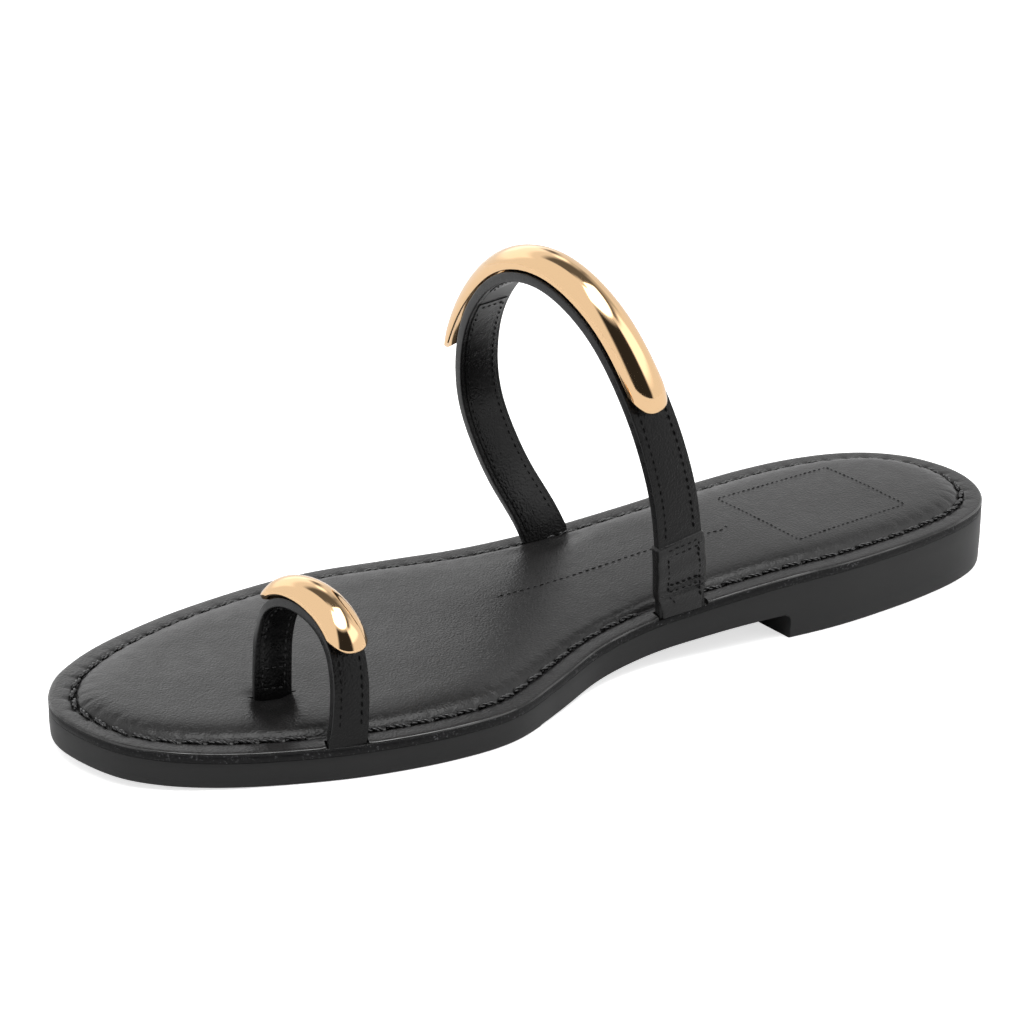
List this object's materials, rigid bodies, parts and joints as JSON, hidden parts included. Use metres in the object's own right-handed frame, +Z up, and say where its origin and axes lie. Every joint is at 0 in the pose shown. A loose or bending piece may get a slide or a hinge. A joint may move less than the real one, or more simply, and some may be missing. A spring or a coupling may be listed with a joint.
{
  "type": "toe loop sandal",
  "caption": "Flat right-foot slide sandal with padded leather footbed, a slim arched instep strap, a big-toe loop and domed gold bars.",
  "frame": {"origin": "on the floor, under the middle of the bounding box", "axes": "toe towards -X, heel towards +X, big-toe side -Y, little-toe side +Y, +Z up; metres"},
  "size_m": [0.245, 0.0881, 0.0945],
  "materials": {
    "outsole_rubber": "smooth satin",
    "board_edge": "painted cut edge, fine speckle",
    "footbed_leather": "smooth leather with a soft sheen",
    "strap_leather": "soft black leather",
    "polished_gold": "mirror polished, gold coloured"
  },
  "bodies": {
    "root": {"outsole": "outsole_rubber", "insole_board": "board_edge", "footbed": "footbed_leather", "instep_strap": "strap_leather", "instep_keeper": "strap_leather", "instep_bar": "polished_gold", "toe_strap": "strap_leather", "toe_bar": "polished_gold"}
  },
  "joints": []
}
